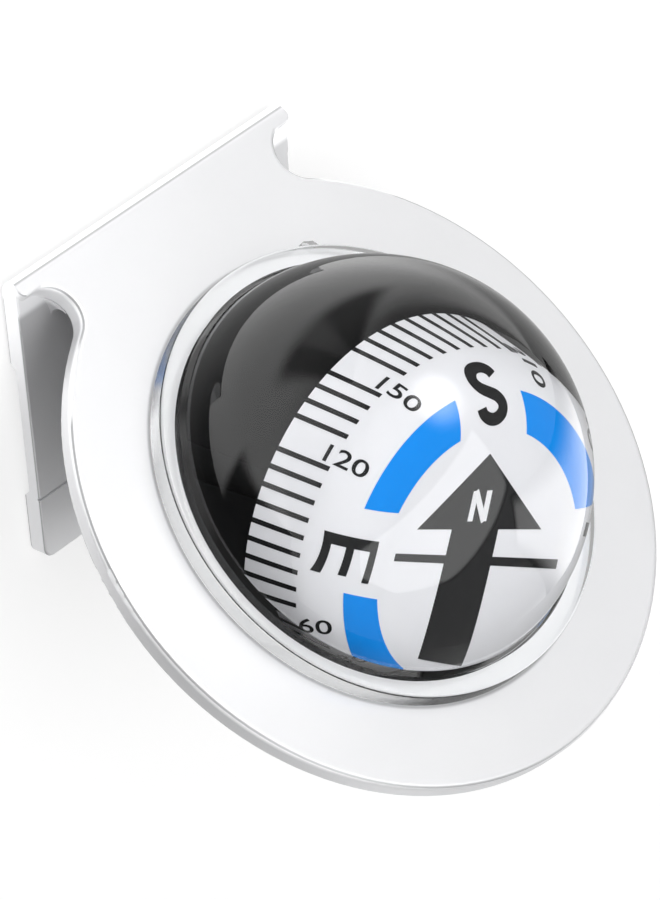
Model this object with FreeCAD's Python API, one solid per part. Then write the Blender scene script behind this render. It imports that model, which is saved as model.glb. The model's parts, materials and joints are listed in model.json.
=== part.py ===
"""Dashboard compass: a liquid-filled ball compass in a folded plate bracket.

Frame: the dashboard is the plane Z = 0 and +Z is up. The driver looks along +Y, with +X to the right.
The ball's centre is on the Z axis. Lengths are in millimetres and angles in degrees.
The ball, its ring nut and the bracket's disc share one tilted axis, square to the disc.
The card turns about a vertical axis through the point of the pivot pin.
"""
import FreeCAD, Part
import math
import os

from FreeCAD import Rotation, Vector

# Ball
ball_radius = 20.0
ball_wall = 1.4

# Plate of the bracket: a disc with the ball in its middle
plate_tilt = 48.0
plate_border = 10.0
plate_thickness = 2.0
plate_front_round = 0.5
plate_back_round = 0.3
plate_hole_clearance = 0.15

# Tab below the disc, and the notches that part it from the disc
tab_width = 37.0
tab_gap = 0.8
tab_corner_round = 0.8
tab_flat = 0.15
tab_side_round = 0.2
notch_radius = 2.85

# Hairpin fold and foot
fold_outer_radius = 1.2
fold_inner_radius = 1.0
foot_reach = 8.0
foot_web = 1.2
foot_corner_round = 1.2
toe_length = 6.5
groove_width = 0.3
groove_depth = 0.25
tape_length = 14.5
tape_depth = 0.7

# Clear dome
flange_width = 2.15
flange_thickness = 2.1
flange_round = 0.35
dome_root_chamfer = 0.4
skirt_thickness = 0.7
skirt_depth = 1.2
key_width = 1.6
key_reach = 0.45
key_angle = 245.0

# Bowl
joint_clearance = 0.05
seal_thickness = 0.7
collar_depth = 5.6
boss_radius = 2.6
boss_height = 3.2

# Ring nut behind the plate
nut_clearance = 0.06
nut_width = 2.7
nut_thickness = 3.0
nut_chamfer = 0.5
grip_count = 12
grip_radius = 0.9

# Filler screw and its washer
filler_angle = 50.0
filler_boss_radius = 3.4
filler_boss_rise = 0.4
filler_bore_radius = 1.3
filler_screw_clearance = 0.03
filler_head_radius = 2.5
filler_head_thickness = 0.9
filler_head_round = 0.25
filler_slot_width = 0.6
filler_slot_depth = 0.5
filler_end_gap = 0.2
filler_washer_thickness = 0.5

# Pivot post and pin
post_foot_radius = 1.2
post_foot_length = 2.0
post_foot_clearance = 0.02
post_shoulder_radius = 2.1
post_shoulder_thickness = 0.8
post_stem_radius = 0.9
post_collar_radius = 1.9
post_collar_thickness = 0.8
post_collar_drop = 4.6
post_nose_drop = 2.6
pin_radius = 0.4
pin_grip = 2.2
pin_taper = 0.9
pin_tip_radius = 0.05

# Jewel and its holder
jewel_play = 0.05
jewel_radius = 1.0
jewel_height = 1.3
jewel_mouth_radius = 0.6
jewel_rim_drop = 0.5
holder_radius = 1.5
holder_grip = 3.6
holder_flange_radius = 2.3
holder_flange_thickness = 0.8

# Card: a drum with a flat top, heights measured from the pin's point
card_radius = 13.75
card_top = 8.1
card_shoulder = 5.15
card_gap = 0.7
card_wall = 0.8
card_rim_drop = 1.5
hub_radius = 2.6
hub_rise = 2.9

# Float
float_gap = 0.6
float_wall = 0.6
float_clearance = 0.05

# Magnets and their carrier
magnet_length = 13.0
magnet_side = 2.4
magnet_spacing = 10.4
carrier_sheet = 0.5
carrier_length = 10.0
carrier_clearance = 0.02

# Keeper stirrup that stops the card lifting off its pin
keeper_sheet = 0.4
keeper_width = 3.0
keeper_half_span = 2.9
keeper_drop = 5.8
keeper_hole_radius = 1.3

# Balance weight that levels the card against the pull of the earth's field
weight_length = 1.6
weight_width = 4.0
weight_height = 1.2

# How far a cutting tool runs past what it cuts
overrun = 1.0

# The compass card's north mark at rest, turned from +Y towards +X
heading = 27.0

# How near two places must be to count as the same, as a share of the plate's thickness
same_place_share = 0.1

# The plate, from the disc's middle down to the corner of the fold, and the ball's height that it gives
plate_radius = ball_radius + plate_border
plate_back = -plate_thickness
tab_start = plate_radius + tab_gap
fold_tangent = fold_outer_radius / math.tan(math.radians(plate_tilt / 2))
fold_corner = tab_start + tab_corner_round + tab_flat + fold_tangent
ball_height = fold_corner * math.sin(math.radians(plate_tilt))
ball_centre = Vector(0, 0, ball_height)

# The foot, from its web to the ends of the tape's recess
foot_top = tape_depth + foot_web
toe_start = foot_reach - toe_length
heel_end = toe_start - tape_length

# The ball, and its joint between dome and bowl
cavity_radius = ball_radius - ball_wall
flange_radius = ball_radius + flange_width
skirt_outer = cavity_radius + skirt_thickness
rebate_radius = skirt_outer + joint_clearance
rebate_depth = skirt_depth + seal_thickness

# The centre of the card's round shoulder, and the pivot, set back until the shoulder nears the bowl
shoulder_reach = card_radius - card_shoulder
shoulder_height = card_top - card_shoulder
shoulder_room = cavity_radius - card_gap - card_shoulder
pivot_setback = math.sqrt(shoulder_room ** 2 - shoulder_height ** 2) - shoulder_reach
pivot = Vector(0, pivot_setback, ball_height)

# The card's inside, and the float that follows it
card_ceiling = card_top - card_wall
card_inner_round = card_shoulder - card_wall
float_bore = hub_radius + float_clearance
float_seam = hub_rise + float_wall
float_top = card_ceiling - float_gap
float_round = card_inner_round - float_gap
carrier_top = hub_rise
carrier_bottom = carrier_top - carrier_sheet


def unit(angle):
    """Unit vector in a plane, as a pair, turned by an angle from its first axis."""
    return math.cos(math.radians(angle)), math.sin(math.radians(angle))


def tilted(shape):
    """Carry a shape from the disc's own frame to its place: Z along the ball's axis, Y up the plate."""
    placed = shape.copy()
    placed.rotate(Vector(0, 0, 0), Vector(1, 0, 0), plate_tilt)
    placed.translate(ball_centre)
    return placed


def on_pivot(shape):
    """Carry a shape from the card's own frame, with the pin's point as origin, to its place."""
    placed = shape.copy()
    placed.rotate(Vector(0, 0, 0), Vector(0, 0, 1), -heading)
    placed.translate(pivot)
    return placed


def rod(radius, low, high):
    """Round bar about Z between two heights."""
    return Part.makeCylinder(radius, high - low, Vector(0, 0, low))


def ring(inner, outer, low, high):
    """Flat ring about Z between two heights."""
    return rod(outer, low, high).cut(rod(inner, low - overrun, high + overrun))


def block(size_x, size_y, low, high, centre_x=0, centre_y=0):
    """Upright block centred on a point of the XY plane, between two heights."""
    corner = Vector(centre_x - size_x / 2, centre_y - size_y / 2, low)
    return Part.makeBox(size_x, size_y, high - low, corner)


def profile(*steps):
    """Closed face in the XZ plane. A step is a corner (x, z), or an arc's middle and end in a list."""
    start = steps[0]
    here = Vector(start[0], 0, start[1])
    edges = []
    for step in steps[1:] + (start,):
        if isinstance(step, list):
            middle, end = [Vector(x, 0, z) for x, z in step]
            edges.append(Part.Arc(here, middle, end).toShape())
            here = end
        else:
            end = Vector(step[0], 0, step[1])
            if (end - here).Length > 0:
                edges.append(Part.LineSegment(here, end).toShape())
            here = end
    return Part.Face(Part.Wire(edges))


def flat(*steps):
    """The face that profile makes, laid down in the XY plane."""
    face = profile(*steps)
    face.rotate(Vector(0, 0, 0), Vector(1, 0, 0), -90)
    return face


def turned(*steps):
    """Solid of revolution about Z, from the half section given to profile."""
    return profile(*steps).revolve(Vector(0, 0, 0), Vector(0, 0, 1), 360)


def on_circle(radius, height):
    """Point of a circle about the origin in the XZ plane, at a height, on the +X side."""
    return math.sqrt(radius ** 2 - height ** 2), height


def arc_on_circle(radius, start, end):
    """Arc step for profile, between two heights of a circle about the origin, on its +X side."""
    angle_a = math.degrees(math.asin(start / radius))
    angle_b = math.degrees(math.asin(end / radius))
    middle = unit((angle_a + angle_b) / 2)
    return [(radius * middle[0], radius * middle[1]), on_circle(radius, end)]


def on_shoulder(radius, height):
    """Point of a circle about the centre of the card's shoulder, at a height, on its outer side."""
    return shoulder_reach + on_circle(radius, height - shoulder_height)[0], height


def arc_on_shoulder(radius, start, end):
    """Arc step for profile about the centre of the card's shoulder, between two heights above it."""
    return [(shoulder_reach + x, shoulder_height + z) for x, z in arc_on_circle(radius, start, end)]


def edges_where(shape, test):
    """The edges of a shape whose middle point passes a test."""
    return [edge for edge in shape.Edges if test(edge.CenterOfMass)]


def near(value, target):
    """Whether two places along an axis are the same."""
    return abs(value - target) < same_place_share * plate_thickness


# Bracket

def plate_point(down, behind=0):
    """Place in the YZ plane: so far down the plate from the ball's centre, and behind its front face."""
    along, across = unit(plate_tilt)
    return behind * across - down * along, ball_height - down * across - behind * along


def wedge_arc(corner, radius):
    """Round the wedge between plate and foot at a corner: points on the plate, the arc and the foot."""
    tangent = radius / math.tan(math.radians(plate_tilt / 2))
    along, across = unit(plate_tilt)
    half_along, half_across = unit(plate_tilt / 2)
    reach = radius / math.sin(math.radians(plate_tilt / 2)) - radius
    on_plate = (corner[0] + tangent * along, corner[1] + tangent * across)
    on_arc = (corner[0] + reach * half_along, corner[1] + reach * half_across)
    on_foot = (corner[0] + tangent, corner[1])
    return on_plate, on_arc, on_foot


def tab_root():
    """Place in the YZ plane where the tab's end meets the plane of the foot's top."""
    along, across = unit(plate_tilt)
    return plate_point(tab_start, (ball_height - tab_start * across - foot_top) / along)


def folded_strip():
    """Tab, hairpin fold and foot: one side profile as wide as the tab."""
    along, across = unit(plate_tilt)
    outer_corner = plate_point(fold_corner)
    back_down = (ball_height - plate_thickness * along - foot_top) / across
    inner_corner = plate_point(back_down, plate_thickness)
    outer_plate, outer_arc, outer_foot = wedge_arc(outer_corner, fold_outer_radius)
    inner_plate, inner_arc, inner_foot = wedge_arc(inner_corner, fold_inner_radius)
    side = profile(
        plate_point(tab_start),
        outer_plate,
        [outer_arc, outer_foot],
        (foot_reach, 0),
        (foot_reach, foot_top),
        inner_foot,
        [inner_arc, inner_plate],
        inner_corner,
        tab_root(),
    )
    side.rotate(Vector(0, 0, 0), Vector(0, 0, 1), 90)
    strip = side.extrude(Vector(tab_width, 0, 0))
    strip.translate(Vector(-tab_width / 2, 0, 0))
    return strip


def round_strip(strip):
    """Round the tab's shoulders, the foot's free corners, and then the rims of both side faces."""
    shoulder_y = (plate_point(tab_start)[0] + tab_root()[0]) / 2
    side = tab_width / 2
    shoulders = edges_where(strip, lambda c: near(abs(c.x), side) and near(c.y, shoulder_y))
    strip = strip.makeFillet(tab_corner_round, shoulders)
    corners = edges_where(strip, lambda c: near(abs(c.x), side) and near(c.y, foot_reach))
    strip = strip.makeFillet(foot_corner_round, corners)
    rims = edges_where(strip, lambda c: near(abs(c.x), side))
    return strip.makeFillet(tab_side_round, rims)


def tape_recess():
    """Shallow tray under the foot for a strip of mounting tape, with ramps at heel and toe."""
    ramp = tape_depth
    tray = profile(
        (heel_end, -overrun),
        (heel_end, 0),
        (heel_end + ramp, tape_depth),
        (toe_start - ramp, tape_depth),
        (toe_start, 0),
        (toe_start, -overrun),
    )
    tray.rotate(Vector(0, 0, 0), Vector(0, 0, 1), 90)
    width = tab_width + 2 * overrun
    solid = tray.extrude(Vector(width, 0, 0))
    solid.translate(Vector(-width / 2, 0, 0))
    return solid


def notch_outline(side):
    """A notch in the disc's frame: where it leaves the disc, its deepest point and where it meets the tab."""
    middle_down = tab_start - notch_radius
    middle_out = math.sqrt((plate_radius + notch_radius) ** 2 - middle_down ** 2)
    disc_share = plate_radius / (plate_radius + notch_radius)
    on_disc = (side * middle_out * disc_share, -middle_down * disc_share)
    deepest = (side * (middle_out - notch_radius), -middle_down)
    on_tab = (side * middle_out, -tab_start)
    return on_disc, deepest, on_tab


def toe_groove():
    """Thin groove across the foot's top, where the toe begins."""
    width = tab_width + 2 * overrun
    middle = toe_start - groove_width / 2
    return block(width, groove_width, foot_top - groove_depth, foot_top + overrun, 0, middle)


def disc_with_neck():
    """Round plate and the neck that joins it to the tab, in the disc's own frame, with rounded rims."""
    left_disc, left_deep, left_tab = notch_outline(-1)
    right_disc, right_deep, right_tab = notch_outline(1)
    neck_low = -tab_start - tab_corner_round
    neck = flat(
        left_disc,
        [left_deep, left_tab],
        (left_tab[0], neck_low),
        (right_tab[0], neck_low),
        right_tab,
        [right_deep, right_disc],
    )
    neck = neck.extrude(Vector(0, 0, plate_back))
    body = rod(plate_radius, plate_back, 0).fuse(neck).removeSplitter()
    low = -tab_start
    front = edges_where(body, lambda c: near(c.z, 0) and c.y > low)
    body = body.makeFillet(plate_front_round, front)
    back = edges_where(body, lambda c: near(c.z, plate_back) and c.y > low)
    return body.makeFillet(plate_back_round, back)


def notch_cut(side):
    """What one notch takes from the web behind the plate, down to the foot's top."""
    on_disc, deepest, on_tab = notch_outline(side)
    outside = side * (tab_width / 2 + overrun)
    outline = flat(on_disc, [deepest, on_tab], (outside, -tab_start), (outside, on_disc[1]))
    cut = tilted(outline.extrude(Vector(0, 0, -tab_gap - 2 * notch_radius)))
    above_foot = block(2 * tab_width, 2 * tab_width, foot_top, foot_top + tab_width)
    return cut.common(above_foot)


def make_bracket():
    hole = rod(ball_radius + plate_hole_clearance, plate_back - overrun, overrun)
    strip = round_strip(folded_strip()).cut(tape_recess()).cut(toe_groove())
    for side in (-1, 1):
        strip = strip.cut(notch_cut(side))
    bracket = tilted(disc_with_neck()).fuse(strip)
    return bracket.removeSplitter().cut(tilted(hole))


# Ball

def make_dome():
    """Clear half ball with its flange, skirt and locating key."""
    root = flange_thickness + dome_root_chamfer
    dome = turned(
        (0, ball_radius),
        arc_on_circle(ball_radius, ball_radius, root),
        (on_circle(ball_radius, flange_thickness)[0] + dome_root_chamfer, flange_thickness),
        (flange_radius - flange_round, flange_thickness),
        (flange_radius, flange_thickness - flange_round),
        (flange_radius, 0),
        (skirt_outer, 0),
        (skirt_outer, -skirt_depth),
        (cavity_radius, -skirt_depth),
        (cavity_radius, 0),
        arc_on_circle(cavity_radius, 0, cavity_radius),
    )
    key_end = flange_radius + key_reach
    key_top = flange_thickness - flange_round
    key = block(key_end - skirt_outer, key_width, 0, key_top, (key_end + skirt_outer) / 2)
    key.rotate(Vector(0, 0, 0), Vector(0, 0, 1), key_angle)
    return tilted(dome.fuse(key).removeSplitter())


def filler_direction():
    """Unit vector from the ball's centre through the filler hole, in the disc's frame."""
    back, up = unit(filler_angle)
    return Vector(0, up, -back)


def along_filler(shape):
    """Carry a shape from the filler hole's own frame, Z pointing out of the ball, to its place."""
    placed = shape.copy()
    placed.Placement = FreeCAD.Placement(Vector(0, 0, 0), Rotation(Vector(0, 0, 1), filler_direction()))
    return tilted(placed)


def post_boss_top():
    """Height of the post's boss above the dashboard: the cavity's floor under the pivot and its rise."""
    floor = math.sqrt(cavity_radius ** 2 - pivot_setback ** 2)
    return ball_height - floor + boss_height


def under_pivot(shape):
    """Move an upright shape from the Z axis to the pivot's own line."""
    placed = shape.copy()
    placed.translate(Vector(0, pivot_setback, 0))
    return placed


def make_bowl():
    """Opaque half ball with a collar for the ring nut, a filler boss outside and a post boss inside."""
    shell = turned(
        (ball_radius, 0),
        (ball_radius, -collar_depth),
        on_circle(ball_radius, -collar_depth),
        arc_on_circle(ball_radius, -collar_depth, -ball_radius),
        (0, -cavity_radius),
        arc_on_circle(cavity_radius, -cavity_radius, -rebate_depth),
        (rebate_radius, -rebate_depth),
        (rebate_radius, 0),
    )
    cavity = Part.makeSphere(cavity_radius)
    filler_top = ball_radius + filler_boss_rise
    filler_boss = rod(filler_boss_radius, 0, filler_top)
    filler_bore = rod(filler_bore_radius, 0, filler_top + overrun)
    bowl = tilted(shell).fuse(along_filler(filler_boss).cut(tilted(cavity)))
    bowl = bowl.cut(along_filler(filler_bore))
    boss_top = post_boss_top()
    inside_wall = Part.makeSphere(ball_radius - ball_wall / 2)
    post_boss = under_pivot(rod(boss_radius, 0, boss_top)).common(tilted(inside_wall))
    post_hole_radius = post_foot_radius + post_foot_clearance
    post_hole = under_pivot(rod(post_hole_radius, boss_top - post_foot_length, boss_top + overrun))
    return bowl.fuse(post_boss).removeSplitter().cut(post_hole)


def make_seal_ring():
    return tilted(ring(cavity_radius, skirt_outer, -rebate_depth, -skirt_depth))


def make_ring_nut():
    """Ring nut that clamps the plate against the dome's flange, with finger grips round its rim."""
    bore = ball_radius + nut_clearance
    outer = bore + nut_width
    back = plate_back - nut_thickness
    nut = turned(
        (bore, plate_back),
        (outer, plate_back),
        (outer, back + nut_chamfer),
        (outer - nut_chamfer, back),
        (bore, back),
    )
    for index in range(grip_count):
        grip = rod(grip_radius, back - overrun, plate_back + overrun)
        x, y = unit(360 / grip_count * (index + 0.5))
        grip.translate(Vector(outer * x, outer * y, 0))
        nut = nut.cut(grip)
    return tilted(nut)


def make_filler_screw():
    seat = ball_radius + filler_boss_rise + filler_washer_thickness
    top = seat + filler_head_thickness
    screw = rod(filler_head_radius, seat, top)
    crown = edges_where(screw, lambda c: near(c.z, top))
    screw = screw.makeFillet(filler_head_round, crown)
    shank = rod(filler_bore_radius - filler_screw_clearance, cavity_radius + filler_end_gap, seat)
    slot = block(filler_slot_width, 2 * filler_head_radius + overrun, top - filler_slot_depth, top + overrun)
    return along_filler(screw.fuse(shank).cut(slot))


def make_filler_washer():
    seat = ball_radius + filler_boss_rise
    return along_filler(ring(filler_bore_radius, filler_head_radius, seat, seat + filler_washer_thickness))


# Pivot

def make_pivot_post():
    """Turned post: foot in the bowl's boss, stem, lift-off collar and the nose that grips the pin."""
    boss_top = post_boss_top()
    foot = boss_top - post_foot_length
    shoulder = boss_top + post_shoulder_thickness
    collar_top = ball_height - post_collar_drop
    collar_bottom = collar_top - post_collar_thickness
    nose = ball_height - post_nose_drop
    post = rod(post_foot_radius, foot, boss_top)
    for radius, low, high in (
        (post_shoulder_radius, boss_top, shoulder),
        (post_stem_radius, shoulder, nose),
        (post_collar_radius, collar_bottom, collar_top),
    ):
        post = post.fuse(rod(radius, low, high))
    return under_pivot(post.removeSplitter().cut(rod(pin_radius, nose - pin_grip, nose + overrun)))


def make_pivot_pin():
    foot = -post_nose_drop - pin_grip
    pin = turned(
        (0, foot),
        (pin_radius, foot),
        (pin_radius, -pin_taper),
        (pin_tip_radius, 0),
        (0, 0),
    )
    return on_pivot(pin)


def make_jewel():
    """Cup bearing with a cone that opens downwards over the pin's point."""
    rim = -jewel_rim_drop
    jewel = turned(
        (0, jewel_play),
        (pin_tip_radius, jewel_play),
        (jewel_mouth_radius, rim),
        (jewel_radius, rim),
        (jewel_radius, rim + jewel_height),
        (0, rim + jewel_height),
    )
    return on_pivot(jewel)


def make_jewel_holder():
    """Brass plug that carries the jewel and clamps the magnet carrier under the card's hub."""
    rim = -jewel_rim_drop
    flange_low = carrier_bottom - holder_flange_thickness
    holder = rod(holder_radius, rim, hub_rise + holder_grip)
    holder = holder.fuse(rod(holder_flange_radius, flange_low, carrier_bottom))
    holder = holder.removeSplitter().cut(rod(jewel_radius, rim - overrun, rim + jewel_height))
    return on_pivot(holder)


# Card and float

def make_card():
    """White drum that carries the scale, with a hub that hangs from its top."""
    rim = -card_rim_drop
    shell = turned(
        (card_radius - card_wall, rim),
        (card_radius, rim),
        (card_radius, shoulder_height),
        arc_on_shoulder(card_shoulder, 0, card_shoulder),
        (0, card_top),
        (0, card_ceiling),
        (shoulder_reach, card_ceiling),
        arc_on_shoulder(card_inner_round, card_inner_round, 0),
    )
    hub_end = card_top - card_wall / 2
    card = shell.fuse(rod(hub_radius, hub_rise, hub_end)).removeSplitter()
    bore = rod(holder_radius, hub_rise - overrun, hub_rise + holder_grip)
    return on_pivot(card.cut(bore))


def make_float_cup():
    """Ring-shaped air chamber round the hub, open below, its outside following the card's inside."""
    inner_round = float_round - float_wall
    seam_rise = float_seam - shoulder_height
    ceiling = float_top - float_wall
    cup = turned(
        (float_bore, float_seam),
        (float_bore + float_wall, float_seam),
        (float_bore + float_wall, ceiling),
        (shoulder_reach, ceiling),
        arc_on_shoulder(inner_round, inner_round, seam_rise),
        on_shoulder(float_round, float_seam),
        arc_on_shoulder(float_round, seam_rise, float_round),
        (float_bore, float_top),
    )
    return on_pivot(cup)


def make_float_lid():
    return on_pivot(ring(float_bore, on_shoulder(float_round, float_seam)[0], hub_rise, float_seam))


# Magnets, keeper and balance weight

def make_magnets():
    """Two bar magnets side by side, along the card's north mark."""
    top = carrier_bottom
    bars = [
        block(magnet_side, magnet_length, top - magnet_side, top, side * magnet_spacing / 2)
        for side in (-1, 1)
    ]
    return on_pivot(Part.makeCompound(bars))


def make_magnet_carrier():
    """Sheet bridge across the hub, with a channel folded round each magnet."""
    side_in = magnet_side + 2 * carrier_clearance
    side_out = side_in + 2 * carrier_sheet
    low = carrier_bottom - side_in
    bridge = block(magnet_spacing + side_out, carrier_length, carrier_bottom, carrier_top)
    for side in (-1, 1):
        centre = side * magnet_spacing / 2
        channel = block(side_out, carrier_length, low - carrier_sheet, carrier_top, centre)
        inside = block(side_in, carrier_length + overrun, low, carrier_bottom, centre)
        bridge = bridge.fuse(channel.cut(inside))
    hole = rod(holder_radius, carrier_bottom - overrun, carrier_top + overrun)
    return on_pivot(bridge.removeSplitter().cut(hole))


def make_keeper():
    """Stirrup under the carrier: its hole is smaller than the post's collar, which stands above it."""
    floor = -keeper_drop
    outer = 2 * (keeper_half_span + keeper_sheet)
    frame = block(keeper_width, outer, floor - keeper_sheet, carrier_bottom)
    inside = block(keeper_width + overrun, 2 * keeper_half_span, floor, carrier_bottom + overrun)
    hole = rod(keeper_hole_radius, floor - keeper_sheet - overrun, floor + overrun)
    return on_pivot(frame.cut(inside).cut(hole))


def make_balance_weight():
    """Small block under the carrier's bridge, on the card's south side of the hub."""
    centre = -(keeper_half_span + keeper_sheet + weight_length / 2)
    weight = block(weight_width, weight_length, carrier_bottom - weight_height, carrier_bottom, 0, centre)
    return on_pivot(weight)


pieces = {
    "bracket": make_bracket,
    "dome": make_dome,
    "bowl": make_bowl,
    "seal_ring": make_seal_ring,
    "ring_nut": make_ring_nut,
    "filler_screw": make_filler_screw,
    "filler_washer": make_filler_washer,
    "pivot_post": make_pivot_post,
    "pivot_pin": make_pivot_pin,
    "jewel": make_jewel,
    "jewel_holder": make_jewel_holder,
    "card": make_card,
    "float_cup": make_float_cup,
    "float_lid": make_float_lid,
    "magnets": make_magnets,
    "magnet_carrier": make_magnet_carrier,
    "keeper": make_keeper,
    "balance_weight": make_balance_weight,
}

os.makedirs("parts", exist_ok=True)
for name, make in pieces.items():
    shape = make()
    if not shape.isValid():
        raise ValueError(name + " is not a valid solid")
    shape.exportStep("parts/" + name + ".step")
    box = shape.BoundBox
    print(name, len(shape.Solids), "solid,", round(shape.Volume, 1), "mm3,",
          [round(v, 2) for v in (box.XMin, box.XMax, box.YMin, box.YMax, box.ZMin, box.ZMax)])
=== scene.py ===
"""Looks of the dashboard compass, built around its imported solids. Lengths are in millimetres up to the stage."""

import json
import math

import bmesh
import bpy
from mathutils import Matrix, Vector


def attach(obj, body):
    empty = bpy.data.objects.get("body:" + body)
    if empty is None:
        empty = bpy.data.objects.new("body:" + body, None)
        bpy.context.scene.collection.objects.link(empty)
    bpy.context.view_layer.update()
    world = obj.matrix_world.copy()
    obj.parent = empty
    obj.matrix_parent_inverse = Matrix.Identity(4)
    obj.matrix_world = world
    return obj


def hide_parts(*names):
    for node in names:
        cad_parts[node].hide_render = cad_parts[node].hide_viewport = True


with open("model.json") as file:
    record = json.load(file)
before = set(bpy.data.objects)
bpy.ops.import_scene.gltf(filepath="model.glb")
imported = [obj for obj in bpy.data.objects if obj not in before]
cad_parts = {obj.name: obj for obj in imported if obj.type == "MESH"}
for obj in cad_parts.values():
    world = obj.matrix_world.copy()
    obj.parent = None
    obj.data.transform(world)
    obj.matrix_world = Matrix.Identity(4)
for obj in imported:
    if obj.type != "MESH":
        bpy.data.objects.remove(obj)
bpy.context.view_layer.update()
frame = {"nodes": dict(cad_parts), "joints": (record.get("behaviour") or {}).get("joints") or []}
nodes = frame["nodes"]

MM = 0.001
TURN = 2 * math.pi
nearly_zero = 1e-9

# Sizes shared with the solids
plate_tilt = math.radians(48)
ball_height = 25.6
ball_radius = 20.0
cavity_radius = 18.6
plate_thickness = 2.0
foot_thickness = 1.9
flange_radius = 22.15
flange_thickness = 2.1
flange_round = 0.35
root_round = 0.4
skirt_radius = 19.3
skirt_depth = 1.2
key_width = 1.6
key_reach = 0.45
key_angle = math.radians(245)

# The card, in its own frame: X points to its east mark and Y to its north mark
heading = math.radians(27)
card_radius = 13.75
card_top = 8.1
card_shoulder = 5.15
card_rim = -1.5
shoulder_reach = card_radius - card_shoulder
shoulder_height = card_top - card_shoulder
shoulder_length = card_shoulder * math.pi / 2

# The print on the card
ink_lift = 0.03
ink_depth = 0.05
tick_top = 3.37
tick_width = 0.40
tick_step = 6
arc_inner = 9.51
arc_outer = 12.09
arc_gap = 3.46
arrow_tip = 7.68
arrow_base = 2.2
arrow_half = 6.24
shaft_half = 2.35
shaft_end = 7.72
bar_half = 8.1
bar_width = 0.6

pivot = Vector(frame["joints"][0]["pos_m"]) / MM
disc_place = Matrix.Translation((0, 0, ball_height)) @ Matrix.Rotation(plate_tilt, 4, "X")
card_place = Matrix.Translation(pivot) @ Matrix.Rotation(-heading, 4, "Z")


# Finishes

class Value:
    """A number in a finish's nodes. Arithmetic on it adds Math nodes."""

    def __init__(self, finish, socket):
        self.finish = finish
        self.socket = socket

    def __add__(self, other):
        return self.finish.maths("ADD", self, other)

    def __mul__(self, other):
        return self.finish.maths("MULTIPLY", self, other)

    def __sub__(self, other):
        return self.finish.maths("SUBTRACT", self, other)

    def __rsub__(self, other):
        return self.finish.maths("SUBTRACT", other, self)

    def __truediv__(self, other):
        return self.finish.maths("DIVIDE", self, other)

    def __pow__(self, other):
        return self.finish.maths("POWER", self, other)

    def __lt__(self, other):
        return self.finish.maths("LESS_THAN", self, other)

    __radd__ = __add__
    __rmul__ = __mul__


class NodeTree:
    """Nodes of a material or of the world."""

    def __init__(self, tree):
        self.tree = tree

    def put(self, socket, value):
        if isinstance(value, Value):
            self.tree.links.new(value.socket, socket)
        elif isinstance(value, bpy.types.NodeSocket):
            self.tree.links.new(value, socket)
        else:
            socket.default_value = value

    def node(self, kind, settings=None, sockets=None):
        """Add a node: its type, its settings, and the values or links of its sockets."""
        made = self.tree.nodes.new("ShaderNode" + kind)
        for name, value in (settings or {}).items():
            setattr(made, name, value)
        for name, value in (sockets or {}).items():
            self.put(made.inputs[name], value)
        return made

    def maths(self, operation, first, second):
        made = self.node("Math", {"operation": operation}, {0: first, 1: second})
        return Value(self, made.outputs[0])

    def axis_values(self, place):
        made = self.node("SeparateXYZ", None, {0: place})
        return [Value(self, socket) for socket in made.outputs]

    def slope(self, value, low, high, at_low=0.0, at_high=1.0):
        """Smooth step of a value between two places."""
        sockets = {"Value": value, "From Min": low, "From Max": high, "To Min": at_low, "To Max": at_high}
        made = self.node("MapRange", {"interpolation_type": "SMOOTHSTEP"}, sockets)
        return Value(self, made.outputs[0])


class Finish(NodeTree):
    """A node material with one main shader."""

    def __init__(self, name, **sockets):
        self.material = bpy.data.materials.new(name)
        self.material.use_nodes = True
        super().__init__(self.material.node_tree)
        self.shader = self.tree.nodes["Principled BSDF"]
        for socket, value in sockets.items():
            self.put(self.shader.inputs[socket.replace("_", " ")], value)

    def place(self):
        """The point on the piece, in metres."""
        return self.node("TexCoord").outputs["Object"]

    def noise(self, size, detail=2.0, stretch=None):
        """Soft noise from 0 to 1, with lumps of about a size in millimetres."""
        place = self.place()
        if stretch:
            place = self.node("Mapping", None, {"Vector": place, "Scale": stretch}).outputs[0]
        sockets = {"Vector": place, "Scale": 1 / (size * MM), "Detail": detail}
        return Value(self, self.node("TexNoise", None, sockets).outputs["Fac"])

    def blend(self, factor, first, second):
        """Colour that goes from the first to the second."""
        made = self.node("Mix", {"data_type": "RGBA"}, {"Factor": factor, 6: first, 7: second})
        return made.outputs[2]

    def colour(self, factor, first, second):
        self.put(self.shader.inputs["Base Color"], self.blend(factor, first, second))

    def rough(self, value):
        self.put(self.shader.inputs["Roughness"], value)

    def bump(self, height, depth):
        """Bump from a height of 0 to 1, which is so many millimetres deep."""
        made = self.node("Bump", None, {"Height": height, "Distance": depth * MM})
        self.put(self.shader.inputs["Normal"], made.outputs[0])

    def show(self, factor, first, second):
        """Give the surface a mix of two shaders in place of the main one."""
        mix = self.node("MixShader", None, {0: factor, 1: first.outputs[0], 2: second.outputs[0]})
        self.put(self.tree.nodes["Material Output"].inputs["Surface"], mix.outputs[0])


# How strongly light bends from air into the clear plastic, into the liquid, and from liquid into plastic
acrylic_index = 1.49
liquid_index = 1.40
wet_index = 1.5 / liquid_index


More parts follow.
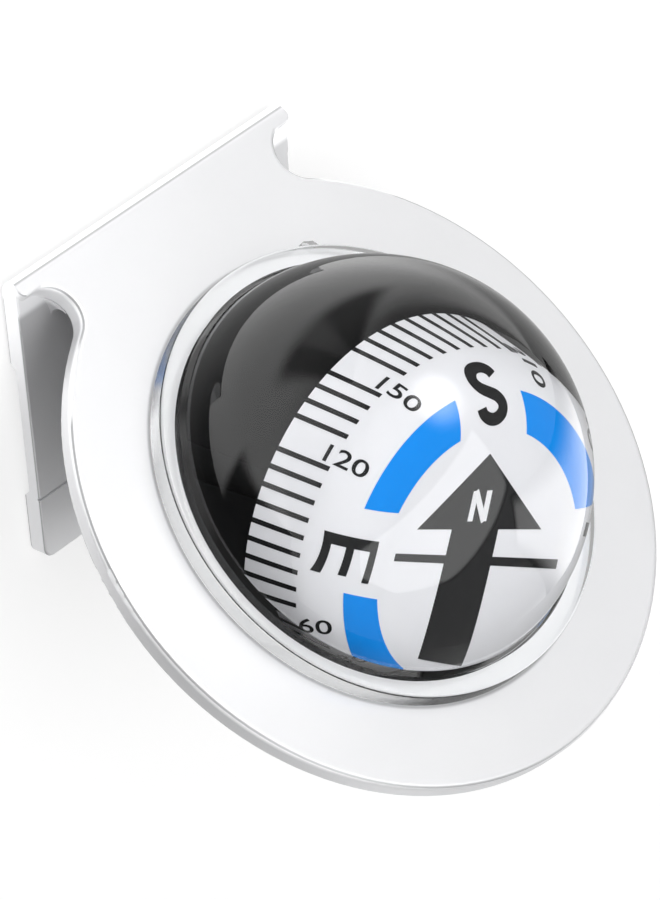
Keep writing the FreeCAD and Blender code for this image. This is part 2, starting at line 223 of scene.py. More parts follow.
# Painted shade in the bracket's paint: dark lines along its rims, a contact shadow round the flange's foot and shade in
# the fold. A pair says where a soft edge starts and is full.
front_line = -0.11
back_line = 0.15 - plate_thickness
foot_lines = (0.15, foot_thickness - 0.11)
line_core = 0.02
line_reach = 0.1
turned_sideways = (0.2, 0.4)
tab_side_bottom = (foot_thickness, foot_thickness + 0.5)
fold_outside_top = (foot_thickness - 0.1, foot_thickness - 0.4)
disc_rim_bottom = (3.8, 4.4)
notch_end_bottom = (6.8, 7.6)
notch_end_top = (11.4, 10.6)
behind_plate = (-plate_thickness, -plate_thickness - 0.6)
foot_top = (foot_thickness - 0.1, foot_thickness - 0.02)
fold_shade = (-4.0, -19.0)
corner_inside = (flange_radius - 0.1, flange_radius + 0.05)
corner_outside = (flange_radius + 0.45, flange_radius + 0.1)
plate_face = (-0.1, -0.05)


def thin_paint(finish):
    """From 0 to 1 where shade is painted: dark lines along the rims, a contact shadow round the flange's foot and shade
    in the fold.
    """
    slope = finish.slope
    x, y, height = [value / MM for value in finish.axis_values(finish.place())]
    rise = height - ball_height
    depth = rise * math.cos(plate_tilt) - y * math.sin(plate_tilt)
    up_plate = y * math.cos(plate_tilt) + rise * math.sin(plate_tilt)
    radius = (x * x + up_plate * up_plate) ** 0.5
    normal = finish.node("NewGeometry").outputs["Normal"]
    sideways = slope(finish.maths("ABSOLUTE", finish.axis_values(normal)[0], 0.0), *turned_sideways)

    def line(value, place):
        before = slope(value, place - line_reach, place - line_core)
        return before * slope(value, place + line_reach, place + line_core)

    # The front line fades where a notch runs out into the disc
    notch_end = slope(height, *notch_end_bottom) * slope(height, *notch_end_top)
    plate_lines = line(depth, front_line) * (1.0 - notch_end) + line(depth, back_line)
    tab_side = slope(height, *tab_side_bottom) * sideways
    fold_outside = slope(height, *fold_outside_top) * (1.0 - sideways)
    rims = finish.maths("MAXIMUM", finish.maths("MAXIMUM", tab_side, fold_outside), slope(height, *disc_rim_bottom))
    foot_rims = (line(height, foot_lines[0]) + line(height, foot_lines[1])) * sideways
    # Painted shade in the fold, on the foot's top behind the plate
    in_fold = slope(height, *foot_top) * slope(y, *fold_shade)
    # Painted contact shadow in a ring round the flange's foot, on the plate's front face
    corner = slope(radius, *corner_inside) * slope(radius, *corner_outside) * slope(depth, *plate_face)
    return plate_lines * rims + corner * 0.8 + (in_fold * 0.75 + foot_rims) * slope(depth, *behind_plate)


def silver_paint():
    """Light silver paint on a moulding: fine flake and a faint orange peel."""
    finish = Finish("silver_paint", Metallic=0.5, Coat_Weight=0.25, Coat_Roughness=0.12)
    flake = finish.noise(0.09, 1.0)
    drift = finish.noise(9.0, 2.0)
    paint_tone = finish.blend(flake * 0.5 + drift * 0.5, (0.87, 0.872, 0.885, 1), (0.93, 0.932, 0.945, 1))
    # Painted shade: the paint goes dark along the rims, round the flange's foot and in the fold
    finish.colour(thin_paint(finish) * 0.8, paint_tone, (0.30, 0.30, 0.31, 1))
    finish.rough(flake * 0.08 + drift * 0.04 + 0.38)
    finish.bump(finish.noise(0.5, 2.0), 0.0025)
    return finish.material


def clear_acrylic(name, index):
    """Polished clear acrylic. The index is the acrylic's over that of what lies beyond the surface."""
    finish = Finish(name, Base_Color=(0.985, 0.99, 0.99, 1), Transmission_Weight=1.0, IOR=index)
    finish.rough(finish.noise(3.0, 2.0) * 0.004)
    return finish.material


def turned_wall():
    """Turned edge of the clear flange: fine tool marks and a slight haze."""
    finish = Finish("turned_wall", Base_Color=(0.72, 0.72, 0.735, 1), Transmission_Weight=1.0, IOR=acrylic_index)
    marks = finish.noise(0.5, 3.0)
    finish.rough(marks * 0.16 + 0.10)
    finish.bump(marks, 0.012)
    return finish.material


def black_moulding(name, low, spread, index=1.5):
    """Black plastic with a moulded skin."""
    finish = Finish(name, IOR=index)
    drift = finish.noise(2.5, 3.0)
    finish.colour(drift, (0.008, 0.008, 0.009, 1), (0.016, 0.016, 0.017, 1))
    finish.rough(drift * spread + low)
    finish.bump(finish.noise(0.6, 2.0), 0.0004)
    return finish.material


def card_white():
    """White plastic of the card, a little cool, wetted by the liquid."""
    finish = Finish("card_white", IOR=wet_index)
    drift = finish.noise(4.0, 3.0)
    finish.colour(drift, (0.85, 0.85, 0.885, 1), (0.89, 0.89, 0.92, 1))
    finish.rough(drift * 0.1 + 0.35)
    finish.bump(finish.noise(0.25, 2.0), 0.001)
    return finish.material


def ink(name, dark, light):
    """Pad print: even ink with slight mottling, wetted by the liquid."""
    finish = Finish(name, IOR=wet_index)
    mottle = finish.noise(0.35, 3.0)
    finish.colour(mottle, dark, light)
    finish.rough(mottle * 0.15 + 0.35)
    finish.bump(mottle, 0.001)
    return finish.material


def metal(name, dark, light, low, turning=0.08):
    """Turned or rolled metal with fine tool marks round the Z axis."""
    finish = Finish(name, Metallic=1.0)
    marks = finish.noise(turning, stretch=(0.15, 0.15, 1.0))
    finish.colour(marks, dark, light)
    finish.rough(marks * 0.15 + low)
    finish.bump(marks, 0.003)
    return finish.material


def rubber():
    finish = Finish("black_rubber")
    grain = finish.noise(0.15, 3.0)
    finish.colour(grain, (0.018, 0.018, 0.018, 1), (0.035, 0.035, 0.034, 1))
    finish.rough(grain * 0.2 + 0.6)
    finish.bump(grain, 0.01)
    return finish.material


def ruby():
    finish = Finish("jewel_ruby", Transmission_Weight=0.6, IOR=1.76)
    drift = finish.noise(0.5, 2.0)
    finish.colour(drift, (0.55, 0.03, 0.08, 1), (0.75, 0.08, 0.15, 1))
    finish.rough(drift * 0.05 + 0.03)
    return finish.material


silver = silver_paint()
acrylic_to_air = clear_acrylic("clear_acrylic", acrylic_index)
acrylic_to_liquid = clear_acrylic("acrylic_on_liquid", acrylic_index / liquid_index)
acrylic_wall = turned_wall()
bowl_black = black_moulding("bowl_gloss_black", 0.08, 0.06)
wet_black = black_moulding("wet_black", 0.10, 0.06, wet_index)
nut_black = black_moulding("nut_satin_black", 0.30, 0.12)
white = card_white()
black_ink = ink("black_ink", (0.012, 0.012, 0.013, 1), (0.022, 0.022, 0.023, 1))
blue_ink = ink("blue_ink", (0.003, 0.26, 0.88, 1), (0.006, 0.30, 0.92, 1))
white_ink = ink("white_ink", (0.80, 0.80, 0.83, 1), (0.88, 0.88, 0.90, 1))
brass = metal("turned_brass", (0.60, 0.43, 0.18, 1), (0.78, 0.60, 0.30, 1), 0.22)
steel = metal("ground_steel", (0.50, 0.51, 0.53, 1), (0.68, 0.69, 0.70, 1), 0.18, 0.05)
magnet_grey = metal("magnet_grey", (0.20, 0.20, 0.21, 1), (0.34, 0.34, 0.35, 1), 0.40, 0.3)

node_finishes = {
    "bracket": silver,
    "bowl": bowl_black,
    "seal_ring": rubber(),
    "ring_nut": nut_black,
    "filler_screw": brass,
    "filler_washer": rubber(),
    "pivot_post": wet_black,
    "pivot_pin": steel,
    "jewel": ruby(),
    "jewel_holder": brass,
    "card": white,
    "float_cup": white,
    "float_lid": white,
    "magnets": magnet_grey,
    "magnet_carrier": brass,
    "keeper": brass,
    "balance_weight": brass,
}
smooth_angle = math.radians(32)


def smooth(mesh):
    mesh.shade_smooth()
    mesh.set_sharp_from_angle(angle=smooth_angle)


for name, finish in node_finishes.items():
    mesh = nodes[name].data
    mesh.materials.clear()
    mesh.materials.append(finish)
    smooth(mesh)

# The bowl's inside is under the liquid
bowl = nodes["bowl"].data
bowl.materials.append(wet_black)
ball_centre = Vector((0, 0, ball_height)) * MM
for face in bowl.polygons:
    if (face.center - ball_centre).length < (cavity_radius + 0.1) * MM:
        face.material_index = 1


# Making pieces

def piece(name, points, faces, finishes, place, body, kinds=None):
    """A piece from points and faces in millimetres, in a frame of its own, riding on a body."""
    mesh = bpy.data.meshes.new(name)
    mesh.from_pydata([place @ Vector(p) * MM for p in points], [], faces)
    for finish in finishes:
        mesh.materials.append(finish)
    if kinds:
        mesh.polygons.foreach_set("material_index", kinds)
    made = bmesh.new()
    made.from_mesh(mesh)
    bmesh.ops.recalc_face_normals(made, faces=made.faces)
    made.to_mesh(mesh)
    made.free()
    smooth(mesh)
    obj = bpy.data.objects.new(name, mesh)
    bpy.context.scene.collection.objects.link(obj)
    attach(obj, body)
    return obj


def arc(centre, radius, start, end, steps):
    """Points of an arc in a half section, between two angles in degrees."""
    angles = [math.radians(start + (end - start) * i / steps) for i in range(steps + 1)]
    return [(centre[0] + radius * math.cos(a), centre[1] + radius * math.sin(a)) for a in angles]


def lathe(section, segments):
    """Points and faces of a half section turned about Z, and the section's step that each face is from."""
    points, faces, steps, rings = [], [], [], []
    for r, z in section:
        if r < nearly_zero:
            rings.append([len(points)] * segments)
            points.append((0, 0, z))
        else:
            rings.append([len(points) + i for i in range(segments)])
            turns = [TURN * i / segments for i in range(segments)]
            points += [(r * math.cos(t), r * math.sin(t), z) for t in turns]
    for step, (low, high) in enumerate(zip(rings, rings[1:] + rings[:1])):
        if low[0] == low[1] and high[0] == high[1]:
            continue
        for i in range(segments):
            j = (i + 1) % segments
            corners = [low[i], low[j], high[j], high[i]]
            faces.append([c for k, c in enumerate(corners) if c not in corners[:k]])
            steps.append(step)
    return points, faces, steps


# The clear dome, as a finer copy of its solid

dome_segments = 288
dome_steps = 72
rim_steps = 6
seat_lift = 0.02
slack = 1e-6


def make_dome():
    """Dome, flange and key. Its faces differ by what lies beyond them: air, the liquid, or the turned wall."""
    root = flange_thickness + root_round
    low_angle = math.degrees(math.asin(root / ball_radius))
    outside = arc((0, 0), ball_radius, 90, low_angle, dome_steps)
    outside[0] = (0, ball_radius)
    foot = math.sqrt(ball_radius ** 2 - flange_thickness ** 2) + root_round
    edge = flange_radius - flange_round
    rim = arc((edge, flange_thickness - flange_round), flange_round, 90, 0, rim_steps)
    inside = arc((0, 0), cavity_radius, 0, 90, dome_steps)
    inside[-1] = (0, cavity_radius)
    body = [(foot, flange_thickness)] + rim + [
        (flange_radius, seat_lift), (skirt_radius, seat_lift), (skirt_radius, -skirt_depth),
        (cavity_radius, -skirt_depth),
    ]
    section = outside + body + inside
    points, faces, steps = lathe(section, dome_segments)
    first_wet = len(outside) + len(body) - 1
    wall = len(outside) + len(rim)
    kinds = [1 if step >= first_wet else 2 if step == wall else 0 for step in steps]
    half = math.asin(key_width / 2 / flange_radius)
    key_end = flange_radius + key_reach
    wall_top = flange_thickness - flange_round
    for index, (x, y, z) in enumerate(points):
        turn = (math.atan2(y, x) - key_angle + math.pi) % TURN - math.pi
        on_wall = math.hypot(x, y) > flange_radius - slack and z < wall_top + slack
        if on_wall and abs(turn) < half:
            share = key_end / math.hypot(x, y)
            points[index] = (x * share, y * share, z)
    dome = piece("dome_clear", points, faces, (acrylic_to_air, acrylic_to_liquid, acrylic_wall), disc_place,
                 "housing", kinds)
    dome.visible_shadow = False
    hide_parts("dome")


# The print on the card

def card_profile(up):
    """Radius, height and outward slope of the card at a length up its profile from the shoulder's start."""
    if up < 0:
        return card_radius, shoulder_height + up, 0.0
    if up > shoulder_length:
        return shoulder_reach - (up - shoulder_length), card_top, math.pi / 2
    angle = up / card_shoulder
    return (shoulder_reach + card_shoulder * math.cos(angle),
            shoulder_height + card_shoulder * math.sin(angle), angle)


def card_slope(radius):
    """Outward slope of the card's top or shoulder at a distance from its axis."""
    if radius <= shoulder_reach:
        return math.pi / 2
    return math.acos(min(1.0, (radius - shoulder_reach) / card_shoulder))


def over_card(east, north, lift):
    """Point over the card's top or shoulder, seen from above."""
    radius = max(math.hypot(east, north), nearly_zero)
    lean = card_slope(radius)
    height = shoulder_height + card_shoulder * math.sin(lean)
    out = radius + lift * math.cos(lean)
    return east / radius * out, north / radius * out, height + lift * math.sin(lean)


def round_card(azimuth, right, up, lift):
    """Point on the card's side, wrapped round it: to the right of an azimuth and up the profile."""
    radius, height, lean = card_profile(up)
    turn = math.radians(azimuth) - right / card_radius
    out = radius + lift * math.cos(lean)
    return out * math.sin(turn), out * math.cos(turn), height + lift * math.sin(lean)


def letter_on_card(azimuth, right, up, lift):
    """Point of a letter on the shoulder: its strokes keep their width towards the card's middle."""
    radius = card_profile(up)[0]
    turn = math.radians(azimuth)
    east = radius * math.sin(turn) - right * math.cos(turn)
    north = radius * math.cos(turn) + right * math.sin(turn)
    return over_card(east, north, lift)


def layer(place, columns, rows):
    """Thin closed layer of ink from a place given by two shares, 0 to 1, and a height."""
    points, faces = [], []
    width = columns + 1
    count = width * (rows + 1)
    for lift in (ink_lift, -ink_depth):
        points += [place(i / columns, j / rows, lift) for j in range(rows + 1) for i in range(width)]
    for j in range(rows):
        for i in range(columns):
            a = j * width + i
            faces.append([a, a + 1, a + 1 + width, a + width])
            faces.append([count + a + width, count + a + 1 + width, count + a + 1, count + a])
    rim = [i for i in range(width)] + [j * width + columns for j in range(1, rows + 1)]
    rim += [rows * width + i for i in range(columns - 1, -1, -1)] + [j * width for j in range(rows - 1, 0, -1)]
    for a, b in zip(rim, rim[1:] + rim[:1]):
        faces.append([b, a, count + a, count + b])
    return points, faces


def join(layers):
    """Points and faces of several layers as one."""
    points, faces = [], []
    for more_points, more_faces in layers:
        start = len(points)
        points += more_points
        faces += [[start + index for index in face] for face in more_faces]
    return points, faces


def make_ticks():
    """Degree marks on the wall, all but those where a number stands."""
    low = card_rim - shoulder_height
    high = math.asin((tick_top - shoulder_height) / card_shoulder) * card_shoulder
    layers = []
    for azimuth in range(0, 360, tick_step):
        if azimuth % 30 == 0 and azimuth % 90 != 0:
            continue

        def place(across, along, lift, azimuth=azimuth):
            right = (across - 0.5) * tick_width
            return round_card(azimuth, right, low + (high - low) * along, lift)

        layers.append(layer(place, 1, 8))
    points, faces = join(layers)
    piece("scale_ticks", points, faces, (black_ink,), card_place, "compass_card")


def make_arcs():
    """Four blue arcs between the large letters."""
    layers = []
    for quarter in range(4):
        def place(across, along, lift, quarter=quarter):
            radius = arc_inner + (arc_outer - arc_inner) * across
            margin = math.asin(arc_gap / radius)
            turn = quarter * math.pi / 2 + margin + (math.pi / 2 - 2 * margin) * along
            return over_card(radius * math.sin(turn), radius * math.cos(turn), lift)

        layers.append(layer(place, 10, 36))
    points, faces = join(layers)
    piece("blue_arcs", points, faces, (blue_ink,), card_place, "compass_card")


def make_arrow():
    """Arrow whose tip points to the south mark, and the bar across it."""
    def head(across, along, lift):
        half = arrow_half * (1 - along)
        return over_card((2 * across - 1) * half, -arrow_base - (arrow_tip - arrow_base) * along, lift)

    def shaft(across, along, lift):
        return over_card((2 * across - 1) * shaft_half, -arrow_base + (shaft_end + arrow_base) * along, lift)

    def bar(side):
        def place(across, along, lift):
            reach = shaft_half + (bar_half - shaft_half) * across
            return over_card(side * reach, (along - 0.5) * bar_width, lift)
        return place

    points, faces = join([layer(head, 12, 12), layer(shaft, 4, 12), layer(bar(-1), 8, 1), layer(bar(1), 8, 1)])
    piece("arrow", points, faces, (black_ink,), card_place, "compass_card")


# The degree numbers, and the step at which their faces are cut to bend round the card
digit_end = 3.25
digit_height = 1.45
digit_drop = 0.3
digit_stretch = 1.42
digit_weight = 0.0105
digit_spacing = 1.02
digit_smoothness = 6
bend_step = 0.3


def glyphs(words):
    """Flat outline of a number as a mesh of small faces, centred."""
    curve = bpy.data.curves.new("lettering", "FONT")
    curve.body = words
    curve.align_x = "CENTER"
    curve.space_character = digit_spacing
    curve.offset = digit_weight / digit_height
    curve.resolution_u = digit_smoothness
    holder = bpy.data.objects.new("lettering", curve)
    bpy.context.scene.collection.objects.link(holder)
    bpy.context.view_layer.update()
    mesh = bpy.data.meshes.new_from_object(holder.evaluated_get(bpy.context.evaluated_depsgraph_get()))
    bpy.data.objects.remove(holder)
    made = bmesh.new()
    made.from_mesh(mesh)
    bpy.data.meshes.remove(mesh)
    bmesh.ops.remove_doubles(made, verts=made.verts, dist=1e-5)
    ys = [v.co.y for v in made.verts]
    xs = [v.co.x for v in made.verts]
    scale = digit_height / (max(ys) - min(ys))
    middle = (max(ys) + min(ys)) / 2
    centre = (max(xs) + min(xs)) / 2
    for v in made.verts:
        v.co = Vector(((v.co.x - centre) * scale * digit_stretch, (v.co.y - middle) * scale, 0))
    for axis in (0, 1):
        reach = max(abs(v.co[axis]) for v in made.verts)
        normal = Vector((1, 0, 0)) if axis == 0 else Vector((0, 1, 0))
        count = int(reach / bend_step) + 1
        for k in range(-count, count + 1):
            geometry = made.verts[:] + made.edges[:] + made.faces[:]
            bmesh.ops.bisect_plane(made, geom=geometry, plane_co=normal * bend_step * k, plane_no=normal)
    return made


def inked(name, parts, finish):
    """Print pieces of lettering: each part is a flat mesh and the place that its points go to."""
    layers = []
    for made, place in parts:
        made.verts.index_update()
        flat = [v.co.copy() for v in made.verts]
        tops = [[v.index for v in f.verts] for f in made.faces]
        rims = [(e.verts[0].index, e.verts[1].index) for e in made.edges if e.is_boundary]
        count = len(flat)
        points = [place(p.x, p.y, ink_lift) for p in flat]
        points += [place(p.x, p.y, -ink_depth) for p in flat]
        faces = tops + [[count + i for i in reversed(face)] for face in tops]
        faces += [[a, b, count + b, count + a] for a, b in rims]
        layers.append((points, faces))
        made.free()
    points, faces = join(layers)
    piece(name, points, faces, (finish,), card_place, "compass_card")


# Skeletons of the large letters: lines through points to the right of the letter's middle and up the card
letter_lines = {
    "N": (((-1.25, 1.85), (-1.25, 6.5)), ((-1.25, 6.2), (1.25, 2.15)), ((1.25, 1.85), (1.25, 6.5))),
    "W": (((-2.1, 6.5), (-1.15, 1.95)), ((-1.15, 2.0), (0.0, 6.1)),
          ((0.0, 6.1), (1.15, 2.0)), ((1.15, 1.95), (2.1, 6.5))),
}
letter_width = 0.85

# The E: left, right, low and high sides of its spine and its three arms
e_blocks = (
    ((-1.12, -0.22), (2.02, 6.5)), ((-0.22, 2.3), (2.02, 2.7)),
    ((-0.22, 2.1), (3.9, 4.55)), ((-0.22, 2.35), (5.9, 6.5)),
)

# The S: a smooth line through points
s_line = (
    (1.12, 5.62), (0.95, 6.08), (0.35, 6.42), (-0.35, 6.4), (-0.95, 6.0), (-1.1, 5.4), (-0.7, 4.82),
    (0.0, 4.45), (0.72, 4.05), (1.08, 3.45), (0.88, 2.8), (0.3, 2.45), (-0.4, 2.48), (-0.92, 2.85), (-1.1, 3.25),
)
s_width = 0.95

# The small N in the arrow
small_low = 2.78
small_high = 4.98
small_half = 0.7
small_width = 0.5


def smooth_line(points, steps):
    """Points of a smooth line through some points."""
    padded = [points[0]] + list(points) + [points[-1]]
    line = []
    for a, b, c, d in zip(padded, padded[1:], padded[2:], padded[3:]):
        for i in range(steps):
            t = i / steps
            line.append(tuple(
                0.5 * (2 * q + (r - p) * t + (2 * p - 5 * q + 4 * r - s) * t * t + (3 * q - p - 3 * r + s) * t ** 3)
                for p, q, r, s in zip(a, b, c, d)))
    return line + [points[-1]]


def stroke(line, width, place, columns=3):
    """Layer of ink along a line of points, which place carries onto the card."""
    sides = []
    for i, (x, y) in enumerate(line):
        before, after = line[max(i - 1, 0)], line[min(i + 1, len(line) - 1)]
        dx, dy = after[0] - before[0], after[1] - before[1]
        length = math.hypot(dx, dy)
        sides.append((-dy / length, dx / length))
    last = len(line) - 1

    def on_line(across, along, lift):
        i = round(along * last)
        off = (across - 0.5) * width
        return place(line[i][0] + sides[i][0] * off, line[i][1] + sides[i][1] * off, lift)

    return layer(on_line, columns, last)


def straight(start, end, steps=14):
    return [tuple(a + (b - a) * i / steps for a, b in zip(start, end)) for i in range(steps + 1)]


def make_letters():
    """Large letters at the four quarters."""
    layers = []
    for azimuth, letter in ((0, "N"), (270, "W")):
        def place(x, y, lift, azimuth=azimuth):
            return letter_on_card(azimuth, x, y, lift)

        for start, end in letter_lines[letter]:
            layers.append(stroke(straight(start, end), letter_width, place))
    for (left, right), (low, high) in e_blocks:
        def block(across, along, lift, left=left, right=right, low=low, high=high):
            return letter_on_card(90, left + (right - left) * across, low + (high - low) * along, lift)

        layers.append(layer(block, 8, 12))

    def at_south(x, y, lift):
        return letter_on_card(180, x, y, lift)

    layers.append(stroke(smooth_line(s_line, 6), s_width, at_south, 4))
    points, faces = join(layers)
    piece("cardinal_letters", points, faces, (black_ink,), card_place, "compass_card")


def make_numbers():
    """Degree numbers that read from the rim inwards."""
    parts = []
    for azimuth in range(30, 360, 30):
        if azimuth % 90 == 0:
            continue
        made = glyphs(str(azimuth))
        reach = max(v.co.x for v in made.verts)

        def place(x, y, lift, azimuth=azimuth, reach=reach):
            return round_card(azimuth, digit_drop - y, digit_end - reach + x, lift)

        parts.append((made, place))
    inked("degree_numbers", parts, black_ink)


def make_arrow_letter():
    """White letter in the arrow's head, on top of the black ink."""
    def place(x, y, lift):
        return over_card(-x, -y, lift + ink_lift)

    def crossing(x, y, lift):
        return place(x, y, lift + 0.5 * ink_lift)

    left, right = -small_half, small_half
    points, faces = join([
        stroke(straight((left, small_low), (left, small_high)), small_width, place, 2),
        stroke(straight((right, small_low), (right, small_high)), small_width, place, 2),
        stroke(straight((left, small_high), (right, small_low)), small_width, crossing, 2),
    ])
    piece("arrow_letter", points, faces, (white_ink,), card_place, "compass_card")


make_dome()
make_ticks()
make_arcs()
make_arrow()
make_letters()
make_numbers()
make_arrow_letter()


# Stage, lamps and camera. Lengths from here on are in metres.

# The surroundings: how bright gloss sees the sky, where that sets in, and how bright matt surfaces see it all
gloss_sky = 0.30
sky_rise = (0.02, 0.30)
soft_light = 0.6

# The floor: how white it shows, and how much of that is its own glow and not the lamps' light
floor_reach = 6.0
floor_drop = 0.0002
floor_white = 1.25
floor_glow = 0.55

# The round glow that stands at the key lamp
key_way = (-0.235, -0.809, 0.539)
key_distance = 0.6
glow_reach = 0.25
glow_edge = (0.23, 0.04)
glow_level = 7.2

# Outlines of the softboxes: the top one's along X and Y, the side one's along Y and Z
top_height = 0.6
top_edge = 0.035
top_level = 2.3
top_outline = [(-0.255, -0.435), (-0.255, -0.035), (0.128, 0.304), (0.5, 0.43), (0.91, 0.35), (0.89, 0.05)]
side_place = -0.5
side_edge = 0.16
side_level = 2.2
side_outline = [(0.04, -0.2), (0.04, 1.25), (0.6, 1.25), (0.6, -0.2)]

# Soft edges of the dark patches that gloss mirrors in the floor, the one beneath the compass a painted shadow: where
# each starts and is full, along X or Y
front_pivot = -0.05
front_lean = 0.15
front_left = (-0.056, -0.036)
front_right = (0.033, 0.016)
front_back = (-0.043, -0.058)
middle_left = (-0.014, -0.004)
middle_right = (0.010, 0.002)
side_left = (0.042, 0.050)
side_front = (-0.034, -0.022)
beneath_front = (-0.024, -0.004)
front_dusk = (-0.05, -0.14)
left_dusk = (-0.02, -0.09)

# The dark film over the plate that the dome mirrors as a painted reflection of it, in millimetres, and how its level
# falls along X, in metres
film_gap = 0.1
film_inner = 20.6
film_outer = 22.0
film_steps = 96
film_fall = (0.006, 0.022)
film_levels = (0.42, 0.06)
facing_plate = 0.999

# The camera: its spot, and the directions of the picture's right and of the way back from the compass
camera_spot = (0.30947, -0.28225, 0.29868)
camera_right = (-0.6344, 0.0630, 0.7704)
camera_back = (0.6163, -0.5601, 0.5533)


def stage_mesh(name, corners, material, faces=None):
    """Flat pieces of the stage between some corners, in metres. Without faces, it is one piece through them all."""
    mesh = bpy.data.meshes.new(name)
    mesh.from_pydata(corners, [], faces or [tuple(range(len(corners)))])
    mesh.materials.append(material)
    obj = bpy.data.objects.new(name, mesh)
    bpy.context.scene.collection.objects.link(obj)
    return obj


class Rays:
    """Which rays meet a stage finish: those that show it, mirror it, or carry its light to a matt surface."""

    def __init__(self, finish):
        path = finish.node("LightPath")
        camera, gloss, through, bounces = [
            Value(finish, path.outputs[name])
            for name in ("Is Camera Ray", "Is Glossy Ray", "Is Transmission Ray", "Diffuse Depth")]
        first = bounces < 0.5
        self.shown = finish.maths("MAXIMUM", camera, through) * first
        self.mirrored = gloss * (1.0 - through) * (1.0 - camera) * first


def make_floor():
    """Pale floor that shows white and keeps the compass's shadow. Gloss mirrors it with the dark things on it and with
    a painted shadow beneath the compass.
    """
    finish = Finish("floor_paper", Base_Color=(0.9, 0.9, 0.9, 1), Roughness=0.9)
    rays = Rays(finish)
    slope = finish.slope
    x, y, _ = finish.axis_values(finish.place())
    leaning = x + (y - front_pivot) * front_lean
    front = slope(leaning, *front_left) * slope(leaning, *front_right) * slope(y, *front_back)
    front_middle = slope(x, *middle_left) * slope(x, *middle_right)
    side = slope(x, *side_left) * slope(y, *side_front)
    painted_shadow_beneath = slope(y, *beneath_front)
    open_floor = 1.8 - slope(y, *front_dusk) * 0.7 - slope(x, *left_dusk) * 0.6
    # Painted shadow beneath the compass, which only gloss sees in the floor
    dark_things_and_shadow = (1.0 - front * (0.80 - front_middle * 0.22)) * (1.0 - side * 0.96) * (1.0 - painted_shadow_beneath * 0.55)
    level = finish.maths("MAXIMUM", open_floor * dark_things_and_shadow, 0.0)
    glow = finish.node("Emission", None, {"Color": rays.mirrored * level + rays.shown * floor_white})
    finish.show(rays.shown * floor_glow + rays.mirrored, finish.shader, glow)
    low, reach = -floor_drop, floor_reach
    corners = [(-reach, -reach, low), (reach, -reach, low), (reach, reach, low), (-reach, reach, low)]
    stage_mesh("floor", corners, finish.material)


def panel(name, corners, level, faces=None):
    """Board that shows only in the compass's gloss. Its level is a function of the finish and the place on it."""
    finish = Finish(name)
    strength, cover = level(finish, finish.axis_values(finish.place()))
    glow = finish.node("Emission", None, {"Color": strength})
    finish.show(cover, finish.node("BsdfTransparent"), glow)
    board = stage_mesh(name, corners, finish.material, faces)
    board.visible_camera = False
    board.visible_diffuse = False
    board.visible_transmission = False
    board.visible_shadow = False


def make_key_glow():
    """Round, soft-edged lamp cloth."""
    way = Vector(key_way).normalized()
    side = way.cross(Vector((0, 0, 1))).normalized() * glow_reach
    rise = side.cross(way).normalized() * glow_reach
    middle = ball_centre + way * key_distance
    corners = [middle - side - rise, middle + side - rise, middle + side + rise, middle - side + rise]

    def level(finish, axes):
        away = finish.node("VectorMath", {"operation": "DISTANCE"}, {0: finish.place(), 1: middle})
        near_middle = finish.slope(Value(finish, away.outputs["Value"]), *glow_edge)
        return near_middle * glow_level, near_middle

    panel("key_glow", corners, level)


def soft_edges(finish, across, along, corners, width):
    """Smooth fade from 0 at the sides of a convex outline, whose corners run clockwise, to 1 inside them."""
    level = 1.0
    for (x, y), (next_x, next_y) in zip(corners, corners[1:] + corners[:1]):
        length = math.hypot(next_x - x, next_y - y)
        inward = ((next_y - y) / length, (x - next_x) / length)
        depth = across * inward[0] + along * inward[1] - (x * inward[0] + y * inward[1])
        level = finish.slope(depth, 0.0, width) * level
    return level


def make_softboxes():
    """Large light boards over the compass and beside it."""
    def over(finish, axes):
        return soft_edges(finish, axes[0], axes[1], top_outline, top_edge) * top_level, 1.0

    def beside(finish, axes):
        return soft_edges(finish, axes[1], axes[2], side_outline, side_edge) * side_level, 1.0

    panel("top_softbox", [(x, y, top_height) for x, y in top_outline], over)
    panel("side_softbox", [(side_place, y, max(z, 0.0)) for y, z in side_outline], beside)


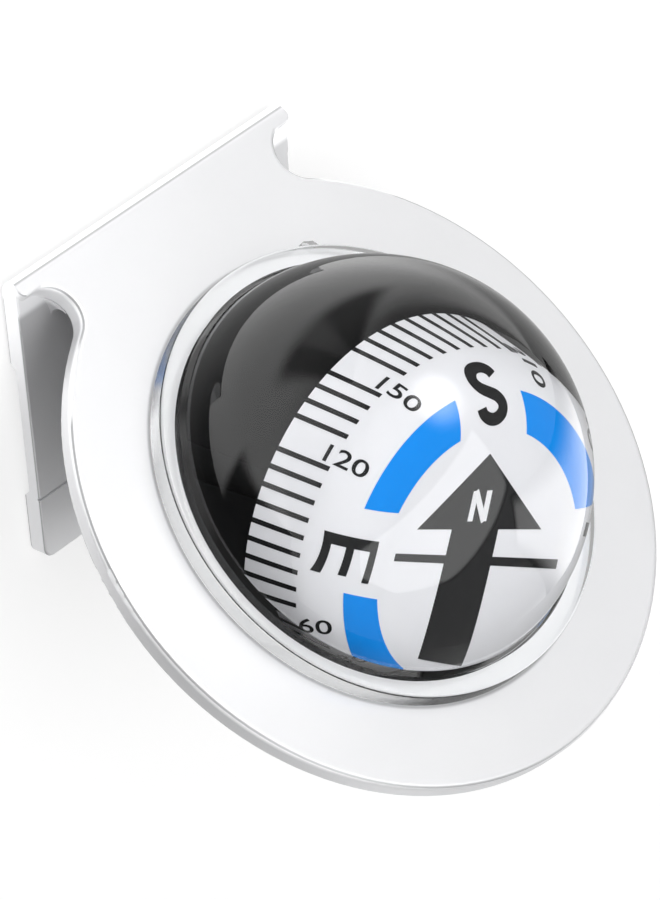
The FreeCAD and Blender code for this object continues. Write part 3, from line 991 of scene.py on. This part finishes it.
def make_plate_flag():
    """Dark film just over the plate and the flange, seen only in gloss: a painted reflection, in which the dome mirrors
    the plate dim.
    """
    source = nodes["bracket"].data
    axis = Vector((0, -math.sin(plate_tilt), math.cos(plate_tilt)))
    corners, faces = [], []
    for face in source.polygons:
        if face.normal.dot(axis) < facing_plate:
            continue
        start = len(corners)
        corners += [source.vertices[index].co + axis * film_gap * MM for index in face.vertices]
        faces.append(list(range(start, len(corners))))
    for i in range(film_steps):
        start = len(corners)
        for radius, turn in ((film_inner, i), (film_outer, i), (film_outer, i + 1), (film_inner, i + 1)):
            angle = TURN * turn / film_steps
            spot = Vector((radius * math.cos(angle), radius * math.sin(angle), flange_thickness + film_gap))
            corners.append(disc_place @ spot * MM)
        faces.append(list(range(start, start + 4)))

    # Painted reflection: the film's level falls along X
    def level(finish, axes):
        behind = Value(finish, finish.node("NewGeometry").outputs["Backfacing"])
        return finish.slope(axes[0], *film_fall, *film_levels), 1.0 - behind

    panel("painted_plate_reflection", corners, level, faces)


def make_world():
    """White surroundings, darker above the horizon where gloss mirrors them, and softer as a light."""
    world = bpy.data.worlds.new("studio")
    bpy.context.scene.world = world
    world.use_nodes = True
    world.node_tree.nodes.clear()
    air = NodeTree(world.node_tree)
    rays = Rays(air)
    rise = air.axis_values(air.node("TexCoord").outputs["Generated"])[2]
    sky = air.slope(rise, *sky_rise, 1.0, gloss_sky)
    level = rays.mirrored * sky + rays.shown + (1.0 - rays.mirrored - rays.shown) * soft_light
    light = air.node("Background", None, {"Color": level})
    air.node("OutputWorld", None, {"Surface": light.outputs[0]})


def lamp(name, direction, distance, size, level):
    """Soft square lamp that shines on the compass from a direction, at a level where 1 lights white to white."""
    data = bpy.data.lights.new(name, "AREA")
    data.size = size
    data.energy = level * math.pi ** 2 * distance ** 2
    obj = bpy.data.objects.new(name, data)
    bpy.context.scene.collection.objects.link(obj)
    way = Vector(direction).normalized()
    obj.location = ball_centre + way * distance
    obj.rotation_mode = "QUATERNION"
    obj.rotation_quaternion = way.to_track_quat("Z", "Y")
    obj.visible_glossy = False


def make_camera():
    data = bpy.data.cameras.new("camera")
    data.lens = 222.75
    data.sensor_width = 36.0
    data.clip_start = 0.01
    data.clip_end = 20.0
    camera = bpy.data.objects.new("camera", data)
    bpy.context.scene.collection.objects.link(camera)
    right = Vector(camera_right).normalized()
    back = Vector(camera_back).normalized()
    up = back.cross(right).normalized()
    turn = Matrix((right, up, back)).transposed().to_4x4()
    camera.matrix_world = Matrix.Translation(camera_spot) @ turn
    bpy.context.scene.camera = camera


make_floor()
make_world()
lamp("key_lamp", key_way, distance=key_distance, size=0.22, level=0.1)
lamp("top_lamp", (0.2, -0.1, 0.97), distance=0.7, size=0.4, level=0.24)
lamp("side_lamp", (0.5, -0.8, 0.35), distance=0.28, size=0.15, level=0.18)
make_key_glow()
make_softboxes()
make_plate_flag()
make_camera()
bpy.context.scene.view_settings.view_transform = "Standard"
